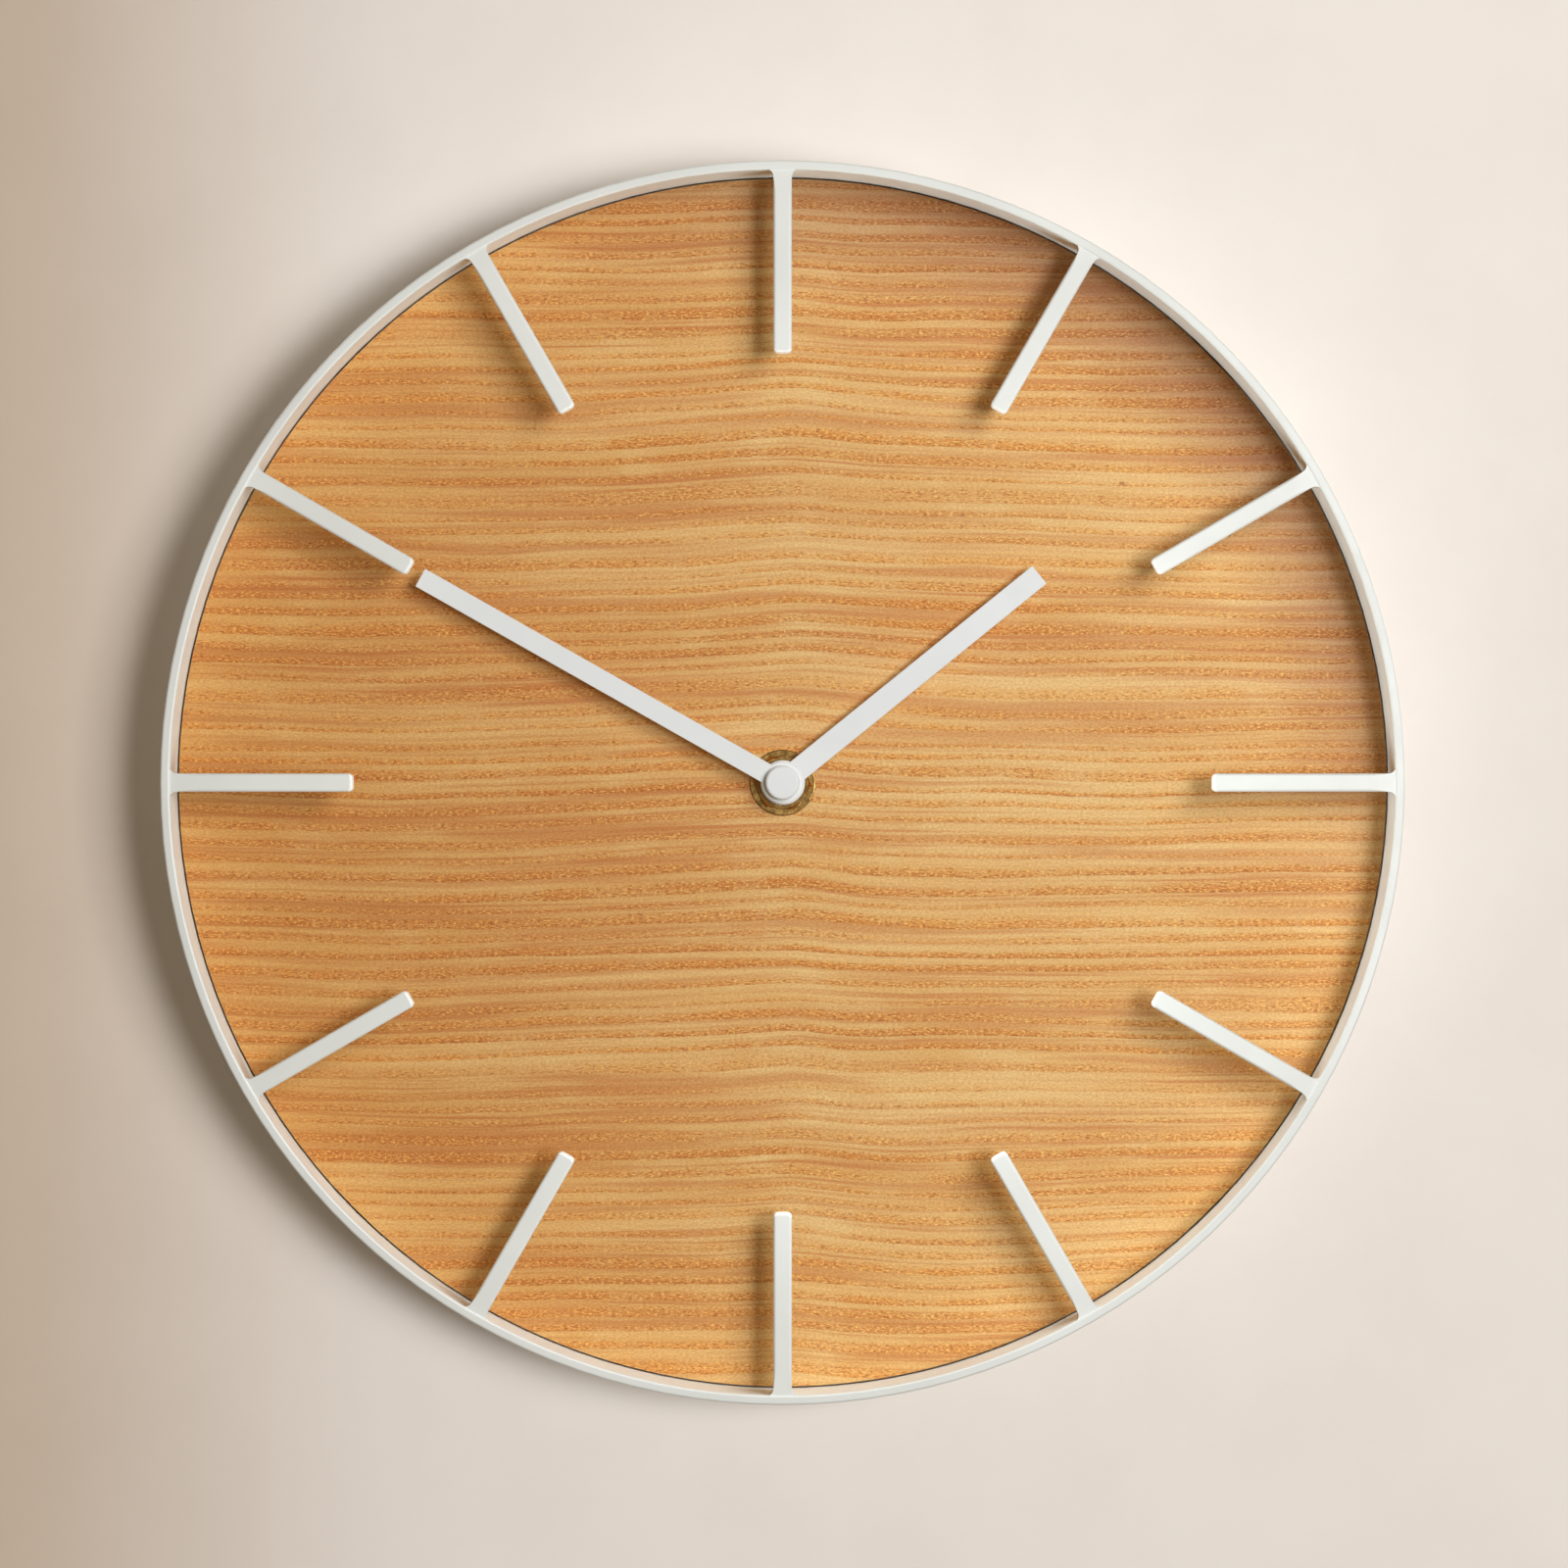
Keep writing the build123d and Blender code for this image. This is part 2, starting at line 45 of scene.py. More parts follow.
class Tree:
    """A material's node tree, with short calls for its maths."""

    def __init__(self, name):
        self.mat = bpy.data.materials.new(name)
        self.mat.use_nodes = True
        self.nt = self.mat.node_tree
        self.nt.nodes.clear()
        self.out = self.nt.nodes.new("ShaderNodeOutputMaterial")
        self.bsdf = self.nt.nodes.new("ShaderNodeBsdfPrincipled")
        self.nt.links.new(self.bsdf.outputs[0], self.out.inputs["Surface"])
        self.co = self.nt.nodes.new("ShaderNodeTexCoord").outputs["Object"]

    def put(self, socket, value):
        if isinstance(value, bpy.types.NodeSocket):
            self.nt.links.new(value, socket)
        elif value is not None:
            socket.default_value = value

    def m(self, op, a, b=None, c=None, clamp=False):
        n = self.nt.nodes.new("ShaderNodeMath")
        n.operation = op
        n.use_clamp = clamp
        for s, v in zip(n.inputs, (a, b, c)):
            self.put(s, v)
        return n.outputs[0]

    def add(self, a, b): return self.m("ADD", a, b)
    def sub(self, a, b): return self.m("SUBTRACT", a, b)
    def mul(self, a, b): return self.m("MULTIPLY", a, b)
    def div(self, a, b): return self.m("DIVIDE", a, b)

    def split(self, v):
        n = self.nt.nodes.new("ShaderNodeSeparateXYZ")
        self.put(n.inputs[0], v)
        return n.outputs

    def join(self, x, y=0.0, z=0.0):
        n = self.nt.nodes.new("ShaderNodeCombineXYZ")
        for s, v in zip(n.inputs, (x, y, z)):
            self.put(s, v)
        return n.outputs[0]

    def noise(self, vec, scale=1.0, detail=2.0, rough=0.5, dist=0.0):
        n = self.nt.nodes.new("ShaderNodeTexNoise")
        n.noise_dimensions = "3D"
        self.put(n.inputs["Vector"], vec)
        n.inputs["Scale"].default_value = scale
        n.inputs["Detail"].default_value = detail
        n.inputs["Roughness"].default_value = rough
        n.inputs["Distortion"].default_value = dist
        return n.outputs[0]

    def white(self, w):
        n = self.nt.nodes.new("ShaderNodeTexWhiteNoise")
        n.noise_dimensions = "1D"
        self.put(n.inputs["W"], w)
        return n.outputs[0]

    def smooth(self, v, lo, hi, a=0.0, b=1.0):
        n = self.nt.nodes.new("ShaderNodeMapRange")
        n.interpolation_type = "SMOOTHSTEP"
        self.put(n.inputs["Value"], v)
        n.inputs["From Min"].default_value = lo
        n.inputs["From Max"].default_value = hi
        n.inputs["To Min"].default_value = a
        n.inputs["To Max"].default_value = b
        return n.outputs[0]

    def mix(self, f, a, b, mode="MIX"):
        n = self.nt.nodes.new("ShaderNodeMix")
        n.data_type = "RGBA"
        n.blend_type = mode
        self.put(n.inputs[0], f)
        self.put(n.inputs[6], a)
        self.put(n.inputs[7], b)
        return n.outputs[2]

    def scaled(self, k, vec=None):
        n = self.nt.nodes.new("ShaderNodeVectorMath")
        n.operation = "MULTIPLY"
        self.put(n.inputs[0], self.co if vec is None else vec)
        n.inputs[1].default_value = k if hasattr(k, "__len__") else (k, k, k)
        return n.outputs[0]

    def bump(self, height, strength, distance, normal=None):
        n = self.nt.nodes.new("ShaderNodeBump")
        n.inputs["Strength"].default_value = strength
        n.inputs["Distance"].default_value = distance
        self.put(n.inputs["Height"], height)
        if normal is not None:
            self.put(n.inputs["Normal"], normal)
        return n.outputs[0]

    def set(self, **kw):
        for k, v in kw.items():
            self.put(self.bsdf.inputs[k.replace("_", " ")], v)
        return self


# ------------------------------------------------------------------ finishes
def paint(name, colour, rough=0.42, grain=2200.0, depth=0.00003, mottled=0.03, wave=0.00004):
    """Sprayed or powder coated finish: orange peel, slow mottling, a few rub marks."""
    t = Tree(name)
    slow = t.noise(t.co, 34.0, 3.0, 0.55)
    fine = t.noise(t.co, grain, 2.0, 0.5)
    peel = t.noise(t.co, grain * 0.22, 2.0, 0.6)
    dark = tuple(c * (1.0 - 2.2 * mottled) for c in colour[:3]) + (1.0,)
    t.set(
        Base_Color=t.mix(t.smooth(slow, 0.3, 0.7), dark, colour),
        Roughness=t.add(t.mul(t.smooth(t.noise(t.co, 90.0, 3.0, 0.6), 0.3, 0.75), 0.14), rough - 0.07),
        Normal=t.bump(fine, 0.25, depth, t.bump(peel, 0.35, wave)),
    )
    t.bsdf.inputs["Specular IOR Level"].default_value = 0.42
    return t.mat


def plastic(name, colour, rough=0.5, grain=1500.0, depth=0.00004, spec=0.4):
    """Moulded plastic with a spark-eroded texture and slight flow marks."""
    t = Tree(name)
    fine = t.noise(t.co, grain, 3.0, 0.6)
    flow = t.noise(t.scaled((60.0, 60.0, 160.0)), 1.0, 2.0, 0.5)
    darker = tuple(c * 0.82 for c in colour[:3]) + (1.0,)
    t.set(
        Base_Color=t.mix(t.smooth(flow, 0.3, 0.7), darker, colour),
        Roughness=t.add(t.mul(fine, 0.16), rough - 0.08),
        Normal=t.bump(fine, 0.4, depth),
    )
    t.bsdf.inputs["Specular IOR Level"].default_value = spec
    return t.mat


def metal(name, colour, rough=0.3, stretch=(400.0, 400.0, 400.0), depth=0.00001, tarnish=None, amount=0.4):
    """Metal with fine tool marks and uneven tarnish."""
    t = Tree(name)
    marks = t.noise(t.scaled(stretch), 1.0, 4.0, 0.65)
    spots = t.noise(t.co, 420.0, 3.0, 0.6)
    dull = tarnish or tuple(c * 0.6 for c in colour[:3]) + (1.0,)
    t.set(
        Base_Color=t.mix(t.mul(t.smooth(spots, 0.4, 0.72), amount), colour, dull),
        Metallic=1.0,
        Roughness=t.add(t.mul(marks, 0.22), rough - 0.1),
        Normal=t.bump(marks, 0.3, depth),
    )
    return t.mat


def veneer(name):
    """Ash veneer, grain along X. Each growth ring is a band of open pores with a dark lower
    edge, breaking up upwards into short dashes and flecks, then smooth pale late wood. The
    grain lines rise to a soft crest near the middle of the dial."""
    t = Tree(name)
    x, _, z = t.split(t.co)
    X = t.mul(t.sub(x, CX), 1000.0)
    Z = t.mul(t.sub(z, CZ), 1000.0)

    # the crest: a low peak, longer on its left, and slow waves along the grain
    side = t.m("TANH", t.div(t.sub(X, 2.0), 9.0))
    width = t.m("MULTIPLY_ADD", side, -8.0, 22.0)
    q = t.m("ABSOLUTE", t.div(t.sub(X, 2.0), width))
    crest = t.m("EXPONENT", t.mul(t.m("POWER", q, 1.35), -1.0))
    crest_h = t.m("MULTIPLY_ADD", t.noise(t.join(0.0, t.mul(Z, 0.02), 3.1), 1.0, 1.0), 2.4, 0.6)
    slow = t.sub(t.noise(t.join(t.mul(X, 0.0085), t.mul(Z, 0.016), 1.7), 1.0, 1.5), 0.5)
    wavy = t.sub(t.noise(t.join(t.mul(X, 0.030), t.mul(Z, 0.05), 7.3), 1.0, 2.0), 0.5)
    Zw = t.sub(Z, t.mul(crest, crest_h))
    Zw = t.add(Zw, t.mul(slow, 8.0))
    Zw = t.add(Zw, t.mul(wavy, 1.5))

    # short dashes of several sizes, used to break up every edge
    dash = t.noise(t.join(t.mul(X, 0.42), t.mul(Zw, 2.7), 0.0), 1.0, 3.0, 0.65)
    dash2 = t.noise(t.join(t.mul(X, 0.85), t.mul(Zw, 2.5), 9.0), 1.0, 2.0, 0.6)
    dash3 = t.noise(t.join(t.mul(X, 1.2), t.mul(Zw, 2.8), 27.0), 1.0, 2.0, 0.6)

    # growth rings, about 3.5 mm apart, wider in some places
    vary = t.noise(t.join(0.0, t.mul(Zw, 0.03), 11.0), 1.0, 1.0)
    ragged = t.sub(t.noise(t.join(t.mul(X, 0.16), t.mul(Zw, 0.4), 4.4), 1.0, 2.0, 0.6), 0.5)
    vary2 = t.noise(t.join(t.mul(X, 0.004), t.mul(Zw, 0.11), 19.0), 1.0, 1.0)
    u = t.add(t.div(Zw, 3.6), t.add(t.mul(vary, 2.2), t.mul(vary2, 1.5)))
    u = t.add(u, t.mul(ragged, 0.16))
    f = t.m("FRACT", u)
    index = t.m("FLOOR", u)
    r1 = t.white(index)
    r2 = t.white(t.add(index, 57.3))
    r3 = t.white(t.add(index, 131.9))
    along = t.noise(t.join(t.mul(X, 0.020), t.mul(index, 7.13), 2.0), 1.0, 2.0)
    zone = t.noise(t.join(t.mul(X, 0.008), t.mul(Zw, 0.055), 63.0), 1.0, 2.0, 0.55)
    zone = t.smooth(zone, 0.38, 0.62)
    strength = t.m("MULTIPLY_ADD", r2, 0.65, 0.45)
    strength = t.mul(strength, t.smooth(along, 0.28, 0.62, 0.6, 1.1))
    broken = t.noise(t.join(t.mul(X, 0.11), t.mul(index, 3.71), 17.0), 1.0, 2.0, 0.6)
    strength = t.mul(strength, t.smooth(broken, 0.30, 0.58, 0.45, 1.05))
    g = t.add(f, t.mul(t.sub(dash, 0.5), 0.55))
    top = t.m("MULTIPLY_ADD", r1, 0.24, 0.38)
    body = t.m("DIVIDE", t.sub(t.add(top, t.mul(zone, 0.16)), g), 0.26, clamp=True)
    body = t.mul(body, t.smooth(f, 0.0, 0.05))
    body = t.m("MULTIPLY", body, strength, clamp=True)
    halo = t.mul(t.m("POWER", t.m("SUBTRACT", 1.0, f), 1.6), t.mul(strength, 0.5))
    edge = t.div(t.add(t.sub(f, 0.075), t.mul(t.sub(dash, 0.5), 0.16)), 0.075)
    line = t.mul(t.m("EXPONENT", t.mul(t.mul(edge, edge), -1.0)), t.mul(strength, t.m("MULTIPLY_ADD", r3, 0.7, 0.3)))

    pores = t.mul(t.smooth(dash2, 0.52, 0.62), t.smooth(body, 0.05, 0.5))
    flecks = t.mul(t.smooth(dash3, 0.52, 0.62), t.smooth(body, 0.05, 0.5))
    dots = t.mul(t.smooth(t.noise(t.join(t.mul(X, 1.3), t.mul(Zw, 2.6), 21.0), 1.0, 1.0), 0.70, 0.77), t.smooth(body, 0.0, 0.4, 0.25, 1.0))

    fibre = t.noise(t.join(t.mul(X, 0.06), t.mul(Zw, 3.2), 5.0), 1.0, 4.0, 0.65)
    broad = t.noise(t.join(t.mul(X, 0.009), t.mul(Zw, 0.20), 53.0), 1.0, 2.0, 0.6)
    streak = t.noise(t.join(t.mul(X, 0.012), t.mul(Zw, 0.85), 91.0), 1.0, 3.0, 0.6)
    tooth = t.smooth(t.noise(t.join(t.mul(X, 1.5), t.mul(Zw, 2.6), 77.0), 1.0, 2.0, 0.6), 0.25, 0.75)
    tone = t.noise(t.join(t.mul(X, 0.011), t.mul(Zw, 0.075), 13.0), 1.0, 2.0, 0.5)
    silk = t.noise(t.join(t.mul(X, 0.07), t.mul(Zw, 0.11), 41.0), 1.0, 2.0)

    pale = t.mix(t.smooth(tone, 0.3, 0.68), PALE_A, PALE_B)
    pale = t.mix(t.mul(zone, 0.55), pale, PALE_C)
    pale = t.mix(t.mul(t.smooth(silk, 0.5, 0.72), 0.35), pale, PALE_D)
    # a paler, silky strip along the crest
    near = t.div(t.sub(X, 1.0), 13.0)
    strip = t.mul(t.m("EXPONENT", t.mul(t.mul(near, near), -1.0)), t.smooth(silk, 0.3, 0.7, 0.0, 0.55))
    base = t.mix(strip, pale, PALE_D)
    base = t.mix(t.mul(t.smooth(fibre, 0.3, 0.72), 0.34), base, PALE_C)
    base = t.mix(t.mul(t.smooth(streak, 0.48, 0.66), t.m("MULTIPLY_ADD", zone, 0.55, 0.32)), base, STREAK)
    base = t.mix(t.mul(t.smooth(broad, 0.48, 0.64), 0.58), base, STREAK)
    base = t.mix(halo, base, HALO)
    pore_colour = t.mix(t.mul(zone, 0.75), t.mix(r3, PORE_A, PORE_C), PORE_B)
    base = t.mix(t.mul(body, 0.66), base, pore_colour)
    base = t.mix(t.mul(line, 0.42), base, LINE)
    base = t.mix(t.mul(pores, 0.62), base, PIT)
    base = t.mix(t.mul(flecks, 0.80), base, FLECK)
    base = t.mix(t.mul(dots, 0.45), base, PIT)
    base = t.mix(1.0, base, t.mix(tooth, TOOTH_A, TOOTH_B), "MULTIPLY")
    # painted shade: the left of the dial is darker and warmer, standing in for light falling off towards the left
    left_shade = t.smooth(t.add(X, t.mul(slow, 30.0)), -120.0, 62.0, 1.0, 0.0)
    base = t.mix(left_shade, base, t.mix(1.0, base, LEFT_SHADE_TINT, "MULTIPLY"))
    # painted shade: the dial darker near the ring, most at the top right, where the ring shades it
    reach = t.m("SQRT", t.add(t.mul(X, X), t.mul(Z, Z)))
    lean = t.div(t.add(t.mul(X, 0.64), t.mul(Z, 0.77)), t.m("MAXIMUM", reach, 1.0))
    rim_shade = t.mul(t.smooth(reach, 104.0, 130.0), t.smooth(lean, 0.30, 0.95))
    base = t.mix(rim_shade, base, t.mix(1.0, base, RIM_SHADE_TINT, "MULTIPLY"))
    # three small dark knots
    for kx, kz, ka, kb in ((74.5, 65.7, 0.62, 0.42), (67.0, -78.0, 0.5, 0.34), (22.9, -12.6, 0.42, 0.26)):
        dx = t.div(t.sub(X, kx), ka)
        dz = t.div(t.sub(Z, kz), kb)
        spot = t.smooth(t.add(t.mul(dx, dx), t.mul(dz, dz)), 1.8, 0.4)
        base = t.mix(t.mul(spot, 0.7), base, PIT)
    hollow = t.sub(t.mul(fibre, 0.35), t.add(pores, t.mul(dots, 0.8)))
    t.set(
        Base_Color=base,
        Roughness=t.add(t.mul(body, 0.12), t.m("MULTIPLY_ADD", fibre, 0.12, 0.42)),
        Normal=t.bump(hollow, 0.3, 0.0001),
    )
    t.bsdf.inputs["Specular IOR Level"].default_value = 0.3
    return t.mat


# tint of the painted shade on the left of the dial
LEFT_SHADE_TINT = (0.82, 0.71, 0.57, 1.0)
# tint of the painted shade near the ring
RIM_SHADE_TINT = (0.58, 0.50, 0.54, 1.0)
PALE_A = lin(236, 199, 144)
PALE_B = lin(230, 186, 124)
PALE_C = lin(214, 162, 94)
PALE_D = lin(241, 210, 156)
HALO = lin(224, 166, 86)
PORE_A = lin(231, 150, 62)
PORE_B = lin(202, 120, 56)
PORE_C = lin(218, 136, 60)
LINE = lin(158, 80, 34)
PIT = lin(166, 88, 34)
FLECK = lin(248, 202, 122)
STREAK = lin(199, 125, 62)
TOOTH_A = (0.87, 0.82, 0.66, 1.0)
TOOTH_B = (1.18, 1.18, 1.04, 1.0)


def raw_wood(name, colour, dark, across=0.9):
    """Raw board or veneer, seen on the back and the edge of the dial."""
    t = Tree(name)
    x, y, z = t.split(t.co)
    X, Y, Z = (t.mul(v, 1000.0) for v in (x, y, z))
    grain = t.noise(t.join(t.mul(X, 0.03), t.mul(Z, across), t.mul(Y, 1.5)), 1.0, 4.0, 0.6)
    broad = t.noise(t.join(t.mul(X, 0.012), t.mul(Z, 0.09), 3.0), 1.0, 2.0)
    chips = t.noise(t.join(t.mul(X, 1.2), t.mul(Z, 1.2), t.mul(Y, 3.0)), 1.0, 3.0, 0.7)
    base = t.mix(t.smooth(grain, 0.3, 0.72), colour, dark)
    base = t.mix(t.mul(t.smooth(broad, 0.35, 0.7), 0.45), base, dark)
    t.set(
        Base_Color=t.mix(t.mul(t.smooth(chips, 0.55, 0.75), 0.25), base, dark),
        Roughness=t.m("MULTIPLY_ADD", chips, 0.2, 0.6),
        Normal=t.bump(t.add(grain, t.mul(chips, 0.4)), 0.35, 0.0001),
    )
    t.bsdf.inputs["Specular IOR Level"].default_value = 0.25
    return t.mat


def cell_sleeve(name):
    """Plain AA cell: dark sleeve with a pale band near one end and bare metal caps."""
    t = Tree(name)
    lo, hi = [Vector(v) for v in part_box("battery")]
    x, _, _ = t.split(t.co)
    u = t.div(t.sub(x, lo.x), hi.x - lo.x)
    scuff = t.noise(t.scaled((40.0, 600.0, 600.0)), 1.0, 4.0, 0.6)
    sleeve = t.mix(t.mul(t.smooth(scuff, 0.45, 0.75), 0.35), lin(44, 62, 78), lin(70, 88, 102))
    band = t.mul(t.m("GREATER_THAN", u, 0.70), t.m("LESS_THAN", u, 0.80))
    colour = t.mix(band, sleeve, lin(214, 214, 208))
    bare = t.m("MAXIMUM", t.m("LESS_THAN", u, 0.018), t.m("GREATER_THAN", u, 0.955))
    t.set(
        Base_Color=t.mix(bare, colour, lin(190, 186, 176)),
        Metallic=t.m("MULTIPLY_ADD", bare, 0.85, 0.1),
        Roughness=t.m("MULTIPLY_ADD", scuff, 0.2, 0.22),
        Normal=t.bump(scuff, 0.15, 0.00002),
    )
    return t.mat


def winding(name):
    """Enamelled wire, wound round the bobbin along X."""
    t = Tree(name)
    x, _, _ = t.split(t.co)
    turns = t.m("SINE", t.mul(x, 2 * math.pi / 0.00018))
    uneven = t.noise(t.co, 900.0, 2.0)
    t.set(
        Base_Color=t.mix(t.mul(uneven, 0.6), lin(196, 108, 58), lin(140, 70, 38)),
        Metallic=0.9,
        Roughness=t.m("MULTIPLY_ADD", uneven, 0.15, 0.25),
        Normal=t.bump(t.add(turns, uneven), 0.5, 0.00005),
    )
    return t.mat


WHITE = lin(226, 227, 222)
finish = {
    "ring_paint": paint("ring_paint_fine", WHITE, rough=0.40),
    "hand_paint": paint("hand_paint_fine", lin(231, 233, 233), rough=0.5, grain=3000.0, depth=0.00001, mottled=0.01, wave=0.00001),
    "ash_veneer": veneer("ash_veneer_fine"),
    "board_core": raw_wood("board_core_fine", lin(176, 134, 92), lin(140, 101, 66), across=0.6),
    "backing_veneer": raw_wood("backing_veneer_fine", lin(214, 176, 126), lin(182, 140, 92)),
    "brass": metal("brass_fine", lin(172, 134, 76), rough=0.20, stretch=(900.0, 900.0, 900.0), tarnish=lin(84, 58, 34), amount=0.75),
    "seal_rubber": plastic("rubber_fine", lin(30, 30, 31), rough=0.75, spec=0.2),
    "case_plastic": plastic("case_fine", lin(36, 36, 38), rough=0.55, grain=1900.0, depth=0.00008),
    "plate_plastic": plastic("plate_fine", lin(206, 203, 192), rough=0.45),
    "gear_plastic": plastic("gear_fine", lin(228, 225, 214), rough=0.32, grain=2600.0, depth=0.00001),
    "knob_plastic": plastic("knob_fine", lin(46, 46, 49), rough=0.42, grain=2400.0, depth=0.00003),
    "bobbin_plastic": plastic("bobbin_fine", lin(214, 206, 182), rough=0.4),
    "board_laminate": plastic("laminate_fine", lin(38, 96, 58), rough=0.32, grain=3200.0, depth=0.00001, spec=0.5),
    "chip_epoxy": plastic("epoxy_fine", lin(18, 18, 19), rough=0.25, spec=0.5),
    "motor_steel": metal("motor_steel_fine", lin(168, 168, 166), rough=0.32, stretch=(60.0, 600.0, 900.0)),
    "screw_zinc": metal("screw_zinc_fine", lin(196, 198, 196), rough=0.28),
    "nickel": metal("nickel_fine", lin(200, 196, 184), rough=0.22),
    "magnet_grey": metal("magnet_fine", lin(92, 92, 95), rough=0.4),
    "copper_wire": winding("copper_fine"),
    "cell_can": cell_sleeve("cell_fine"),
}
slot_of = {s["node"]: s["material_slot"] for s in frame["record"]["subparts"]}
for node, obj in frame["nodes"].items():
    mat = finish[slot_of[node]]
    if not obj.data.materials:
        obj.data.materials.append(mat)
    for s in obj.material_slots:
        s.material = mat


# ------------------------------------------------------------------ wall behind the clock
def wall_finish():
    """Pale painted wall, with painted shade darker and warmer at the left of the clock and painted light towards the
    top right. Seen from behind it is clear, so the clock's back shows.
    """
    t = Tree("wall_finish")
    x, _, z = t.split(t.co)
    speck = t.noise(t.co, 700.0, 3.0, 0.6)
    roll = t.noise(t.co, 26.0, 3.0, 0.6)
    # painted shade: the wall darker and warmer at the left of the clock
    side = t.smooth(t.sub(x, CX), -0.20, -0.065)
    base = t.mix(side, WALL_LEFT_SHADE, WALL_RIGHT)
    # painted light: the wall lighter towards the top right
    top_right_light = t.mul(t.smooth(t.sub(x, CX), -0.16, 0.04), t.smooth(t.sub(z, CZ), 0.02, 0.17))
    base = t.mix(top_right_light, base, WALL_TOP_LIGHT)
    t.set(
        Base_Color=t.mix(t.mul(t.smooth(roll, 0.35, 0.7), 0.25), base, t.mix(1.0, base, lin(244, 242, 240), "MULTIPLY")),
        Roughness=0.85,
        Normal=t.bump(t.add(speck, roll), 0.12, 0.0002),
    )
    t.bsdf.inputs["Specular IOR Level"].default_value = 0.15
    clear = t.nt.nodes.new("ShaderNodeBsdfTransparent")
    mixer = t.nt.nodes.new("ShaderNodeMixShader")
    geo = t.nt.nodes.new("ShaderNodeNewGeometry")
    t.nt.links.new(geo.outputs["Backfacing"], mixer.inputs[0])
    t.nt.links.new(t.bsdf.outputs[0], mixer.inputs[1])
    t.nt.links.new(clear.outputs[0], mixer.inputs[2])
    t.nt.links.new(mixer.outputs[0], t.out.inputs["Surface"])
    return t.mat


# the left colour is painted shade, the top colour painted light, the right colour the wall's own
WALL_LEFT_SHADE = lin(207, 187, 167)
WALL_RIGHT = lin(237, 229, 222)
WALL_TOP_LIGHT = lin(246, 238, 231)
mesh = bpy.data.meshes.new("wall")
W = 3.0
mesh.from_pydata([(-W, 0, -W), (W, 0, -W), (W, 0, W), (-W, 0, W)], [], [(0, 1, 2, 3)])
wall = bpy.data.objects.new("wall", mesh)
wall.location = (CX, WALL + 0.0002, CZ)
mesh.materials.append(wall_finish())
bpy.context.scene.collection.objects.link(wall)
wall.visible_shadow = False


# a pale room around the front, seen only directly, for the views from the side and behind
def room_finish():
    t = Tree("room_finish")
    slow = t.noise(t.co, 0.35, 2.0, 0.5)
    tint = t.mix(t.smooth(slow, 0.3, 0.7), lin(206, 198, 190), lin(216, 209, 202))
    t.set(Base_Color=tint, Roughness=1.0, Emission_Color=tint, Emission_Strength=0.9)
    t.bsdf.inputs["Specular IOR Level"].default_value = 0.0
    return t.mat


room_mesh = bpy.data.meshes.new("room")
R, SIDES, STEPS = 4.5, 48, 16
points = [(R * math.sin(math.pi / 2 * j / STEPS) * math.cos(2 * math.pi * i / SIDES),
           -R * math.cos(math.pi / 2 * j / STEPS),
           R * math.sin(math.pi / 2 * j / STEPS) * math.sin(2 * math.pi * i / SIDES))
          for j in range(1, STEPS + 1) for i in range(SIDES)]
faces = [(j * SIDES + i, j * SIDES + (i + 1) % SIDES, (j + 1) * SIDES + (i + 1) % SIDES, (j + 1) * SIDES + i)
         for j in range(STEPS - 1) for i in range(SIDES)]
faces += [(i, (i + 1) % SIDES, len(points)) for i in range(SIDES)]
points.append((0.0, -R, 0.0))
room_mesh.from_pydata(points, [], faces)
room_mesh.materials.append(room_finish())
room = bpy.data.objects.new("room", room_mesh)
room.location = (CX, WALL, CZ)
bpy.context.scene.collection.objects.link(room)
room.visible_diffuse = False
room.visible_glossy = False
room.visible_transmission = False
room.visible_shadow = False


# ------------------------------------------------------------------ light
def area(name, place, target, size, watts, colour=(1, 1, 1), shape="DISK", size_y=None):
    data = bpy.data.lights.new(name, "AREA")
    data.shape = shape
    data.size = size
    if size_y:
        data.size_y = size_y
    data.energy = watts
    data.color = colour
    obj = bpy.data.objects.new(name, data)
    obj.location = place
    obj.rotation_mode = "QUATERNION"
    obj.rotation_quaternion = (Vector(target) - Vector(place)).to_track_quat("-Z", "Y")
    obj.visible_camera = False
    bpy.context.scene.collection.objects.link(obj)
    return obj


centre = Vector((CX, (FRONT + WALL) / 2, CZ))
key_dir = Vector((0.27, -1.0, 0.0)).normalized()

# main light: a soft round source to the right, its cone fading towards the left
spot = bpy.data.lights.new("key", "SPOT")
spot.energy = 98.0
spot.color = (0.93, 0.965, 1.0)
spot.shadow_soft_size = 0.25
spot.spot_size = math.radians(46.0)
spot.spot_blend = 1.0
key = bpy.data.objects.new("key", spot)
key.location = centre + key_dir * 2.6
key.rotation_mode = "QUATERNION"
key.rotation_quaternion = (centre + Vector((0.35, 0, 0.14)) - key.location).to_track_quat("-Z", "Y")
bpy.context.scene.collection.objects.link(key)

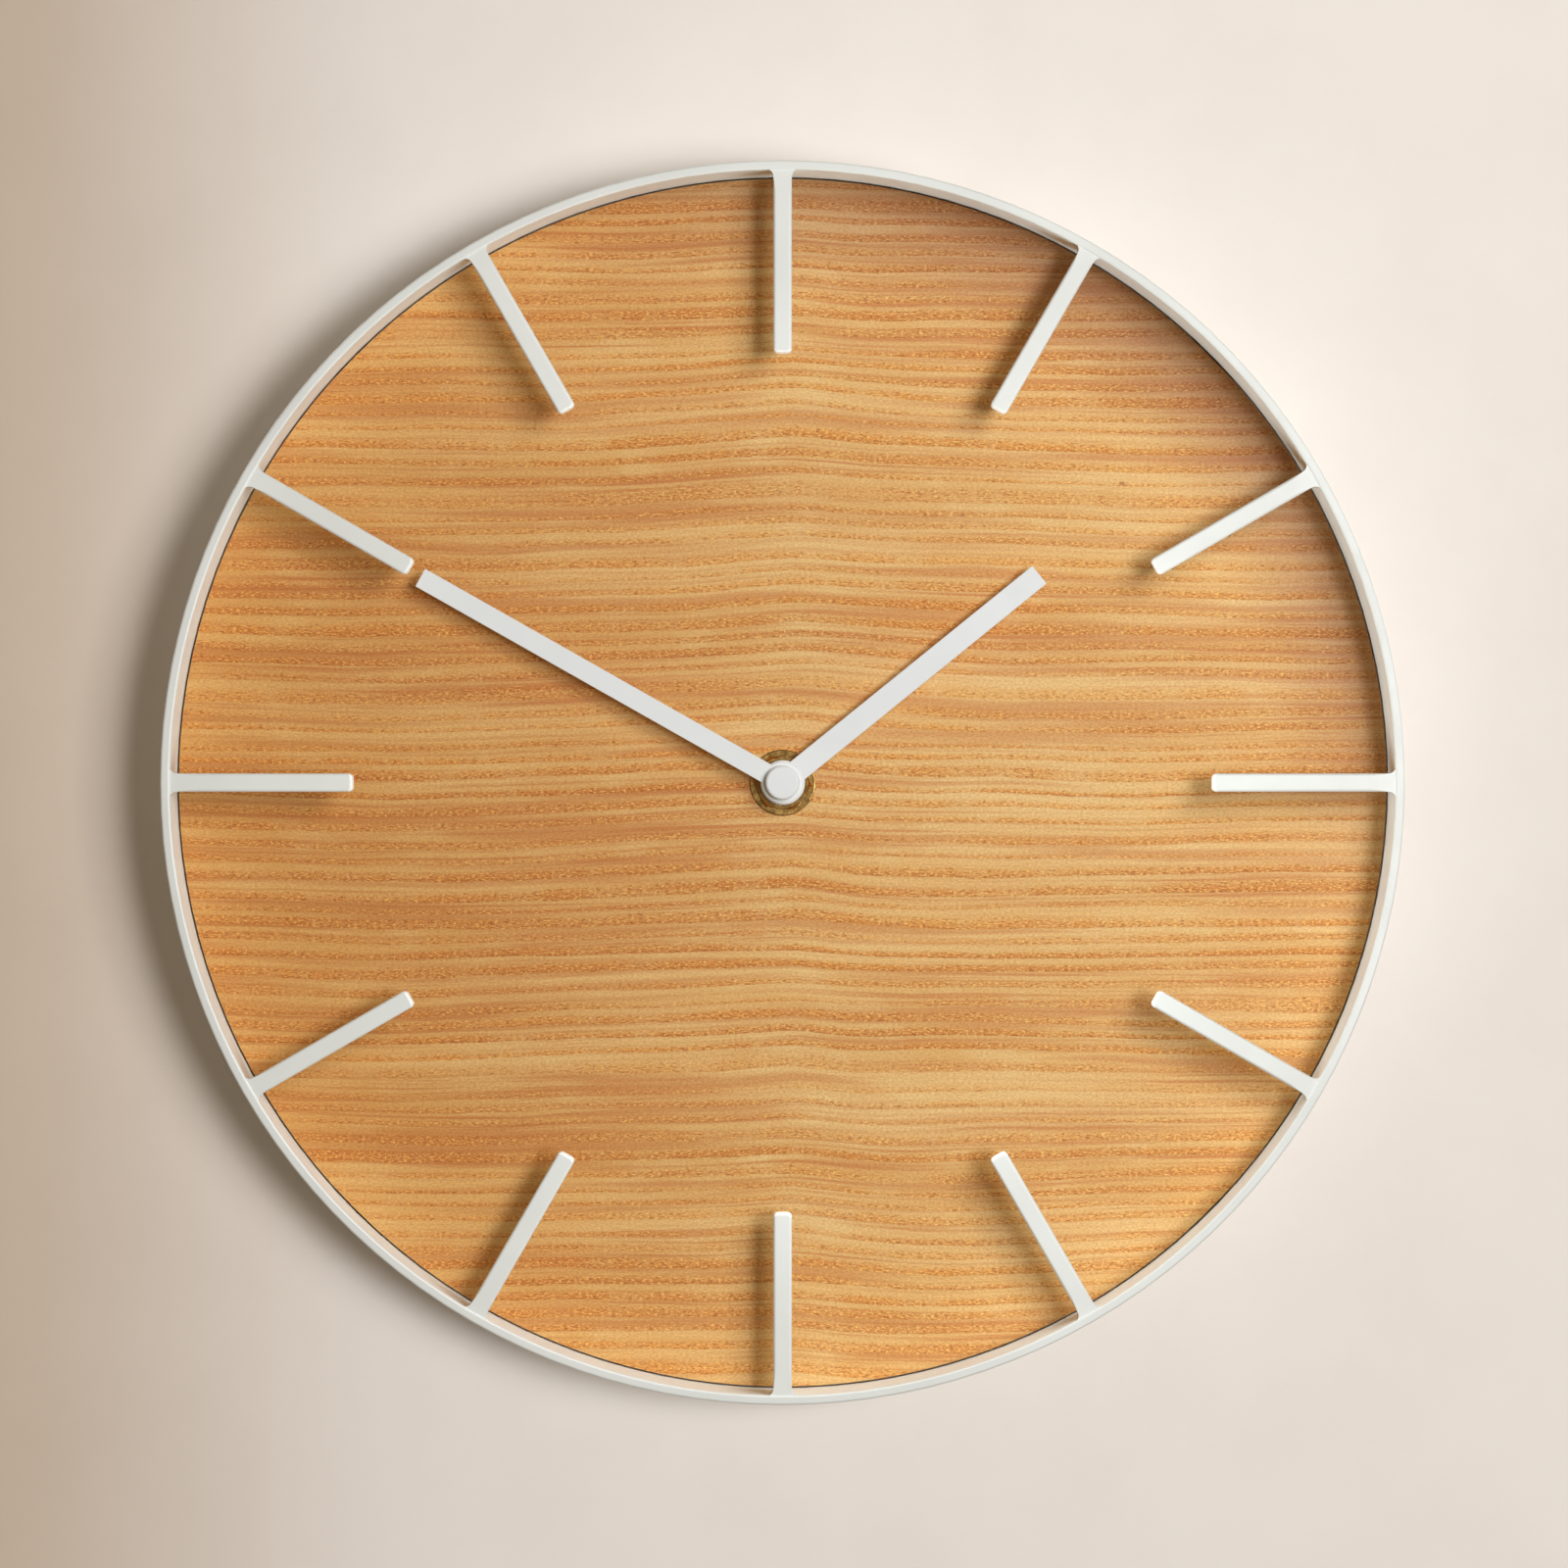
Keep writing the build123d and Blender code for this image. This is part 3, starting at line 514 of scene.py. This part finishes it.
# a broad window to the right: steeper on the clock, and a little flatter on the wall behind
clock_only = bpy.data.collections.new("clock_only")
for obj in frame["nodes"].values():
    clock_only.objects.link(obj)
wall_only = bpy.data.collections.new("wall_only")
wall_only.objects.link(wall)
window = area("window", centre + Vector((0.42, -1.0, 0.26)) * 1.3, centre, 0.5, 9.7, (0.96, 0.98, 1.0), "RECTANGLE", 0.5)
window.light_linking.receiver_collection = clock_only
wash = area("wash", centre + Vector((0.36, -1.0, -0.02)) * 2.1, centre, 0.62, 21.5, (0.98, 0.985, 1.0), "RECTANGLE", 0.65)
wash.light_linking.receiver_collection = wall_only

# a small low light in the middle, for the white metalwork only, keeps the inside of the ring bright
painted = bpy.data.collections.new("painted_steel")
for node, obj in frame["nodes"].items():
    if slot_of[node] == "ring_paint":
        painted.objects.link(obj)
fill = bpy.data.lights.new("inside_fill", "POINT")
fill.energy = 0.38
fill.color = (0.89, 0.97, 1.0)
fill.shadow_soft_size = 0.012
inside = bpy.data.objects.new("inside_fill", fill)
inside.location = (CX + 0.018, FRONT - 0.015, CZ - 0.010)
inside.visible_camera = False
inside.visible_glossy = False
inside.light_linking.receiver_collection = painted
bpy.context.scene.collection.objects.link(inside)

area("back_left", centre + Vector((-0.9, 1.3, 0.7)), centre, 0.9, 16.0)
area("back_right", centre + Vector((1.1, 1.1, 0.3)), centre, 0.9, 9.0)

world = bpy.data.worlds.new("studio")
bpy.context.scene.world = world
world.use_nodes = True
bg = world.node_tree.nodes["Background"]
bg.inputs[0].default_value = (1.0, 0.83, 0.60, 1.0)
bg.inputs[1].default_value = 0.20

# ------------------------------------------------------------------ camera
DIST = 1.393
cam_data = bpy.data.cameras.new("camera")
cam_data.sensor_width = 36.0
cam_data.lens = 36.0 * DIST / 0.340
cam_data.clip_start = 0.01
cam_data.dof.use_dof = False
cam = bpy.data.objects.new("camera", cam_data)
cam.location = (CX + 0.0003, FRONT - DIST, CZ - 0.0003)
cam.rotation_euler = (math.pi / 2, 0, 0)
bpy.context.scene.collection.objects.link(cam)
bpy.context.scene.camera = cam

bpy.context.scene.view_settings.view_transform = "Standard"
bpy.context.scene.view_settings.look = "None"
